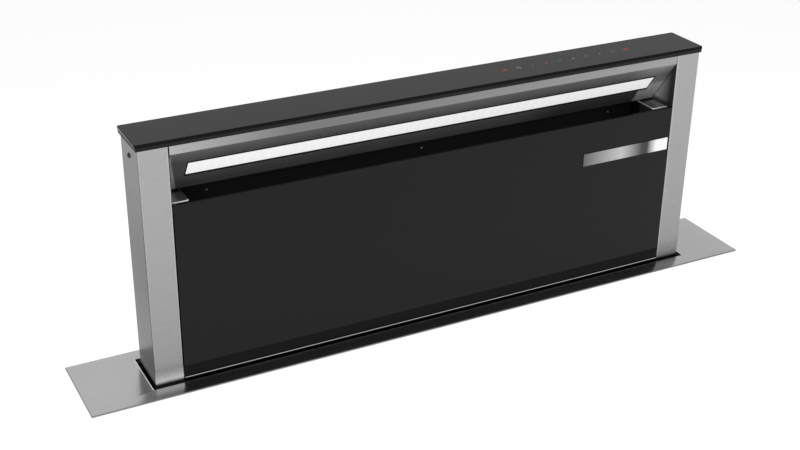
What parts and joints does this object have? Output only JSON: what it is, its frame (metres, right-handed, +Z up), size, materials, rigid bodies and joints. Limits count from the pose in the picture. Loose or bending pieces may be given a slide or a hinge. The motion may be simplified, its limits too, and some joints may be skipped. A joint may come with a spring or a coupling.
{
  "type": "downdraft vent",
  "caption": "Retractable downdraft cooktop vent: a lit glass-fronted tower that rises from a counter plate, with its housing, lift drive and blower below.",
  "frame": {"origin": "on the cabinet floor under the middle of the unit's outer box", "axes": "+Z up, -Y towards the cook and the cooktop, +X to the cook's right"},
  "size_m": [0.918, 0.269, 1.0403],
  "materials": {
    "brushed_steel": "brushed",
    "polished_steel": "bright polished",
    "filter_steel": "satin",
    "galvanised": "zinc coated",
    "plain_steel": "machined",
    "aluminium": "die cast",
    "black_glass": "gloss, printed black behind",
    "opal_light": "opal, lit from behind",
    "black_paint": "powder coat",
    "rubber": "matte",
    "black_plastic": "moulded",
    "white_plastic": "acetal",
    "circuit_board": "solder mask"
  },
  "bodies": {
    "chassis": {"counter_plate": "brushed_steel", "counter_gasket": "rubber", "neck_frame": "galvanised", "wiper_seal": "rubber", "chassis_shell": "galvanised", "chassis_front": "galvanised", "chassis_floor": "galvanised", "guide_rail_right": "plain_steel", "guide_rail_left": "plain_steel", "counter_clamp_right": "plain_steel", "counter_clamp_left": "plain_steel", "shaft_bearing_right": "black_plastic", "shaft_bearing_left": "black_plastic", "lift_gearmotor": "black_paint", "limit_switch": "black_plastic", "blower_box": "galvanised", "blower_cover": "galvanised", "volute_scroll": "galvanised", "inlet_ring": "galvanised", "blower_motor": "aluminium", "outlet_collar": "black_plastic", "electronics_box": "galvanised", "power_inlet": "black_plastic", "foot_rail_right": "galvanised", "foot_rail_left": "galvanised", "foot_front_right": "black_plastic", "foot_front_left": "black_plastic", "foot_rear_right": "black_plastic", "foot_rear_left": "black_plastic"},
    "tower": {"column_right": "brushed_steel", "column_left": "brushed_steel", "leg_right": "galvanised", "leg_left": "galvanised", "rack_right": "plain_steel", "rack_left": "plain_steel", "runner_right": "white_plastic", "runner_left": "white_plastic", "rear_panel": "brushed_steel", "light_trough": "polished_steel", "end_shelf_right": "polished_steel", "end_shelf_left": "polished_steel", "drip_gutter": "polished_steel", "cap_tray": "black_paint", "cap_glass": "black_glass", "touch_board": "circuit_board", "filter_right": "filter_steel", "filter_left": "filter_steel", "light_diffuser": "opal_light", "led_carrier": "aluminium"},
    "front_panel": {"panel_glass": "black_glass", "panel_carrier": "polished_steel", "badge_strip": "brushed_steel"},
    "latch_right": {"filter_latch_right": "black_plastic"},
    "latch_left": {"filter_latch_left": "black_plastic"},
    "cross_shaft": {"lift_shaft": "plain_steel", "pinion_right": "plain_steel", "pinion_left": "plain_steel"},
    "blower_wheel": {"impeller": "black_plastic"},
    "damper_flap_front": {"damper_front": "black_plastic"},
    "damper_flap_rear": {"damper_rear": "black_plastic"}
  },
  "joints": [
    {"name": "tower_lift", "type": "slide", "parent": "chassis", "child": "tower", "axis": [0, 0, 1], "range_m": [-0.3, 0]},
    {"name": "shaft_turn", "type": "hinge", "parent": "chassis", "child": "cross_shaft", "pos_m": [0, 0.09985, 0.398], "axis": [1, 0, 0], "range_deg": [0, 960]},
    {"name": "panel_tilt", "type": "hinge", "parent": "tower", "child": "front_panel", "pos_m": [0, 0.05435, 0.747], "axis": [1, 0, 0], "range_deg": [0, 20]},
    {"name": "latch_right_slide", "type": "slide", "parent": "tower", "child": "latch_right", "axis": [0, -0.1956, -0.9807], "range_m": [0, 0.006], "stiffness_N_per_m": 120, "springref_m": -0.002},
    {"name": "latch_left_slide", "type": "slide", "parent": "tower", "child": "latch_left", "axis": [0, -0.1956, -0.9807], "range_m": [0, 0.006], "stiffness_N_per_m": 120, "springref_m": -0.002},
    {"name": "wheel_spin", "type": "hinge", "parent": "chassis", "child": "blower_wheel", "pos_m": [0.04, -0.0567, 0.208], "axis": [0, 1, 0], "continuous": true},
    {"name": "damper_front_swing", "type": "hinge", "parent": "chassis", "child": "damper_flap_front", "pos_m": [-0.232, -0.0572, 0.322], "axis": [0, 0, -1], "range_deg": [0, 75], "stiffness_Nm_per_rad": 0.02, "springref_deg": -2.86},
    {"name": "damper_rear_swing", "type": "hinge", "parent": "chassis", "child": "damper_flap_rear", "pos_m": [-0.232, -0.0572, 0.322], "axis": [0, 0, 1], "range_deg": [0, 75], "stiffness_Nm_per_rad": 0.02, "springref_deg": -2.86}
  ],
  "couplings": [
    {"joint": "shaft_turn", "follows": "tower_lift", "rad_per_m": -55.556}
  ]
}
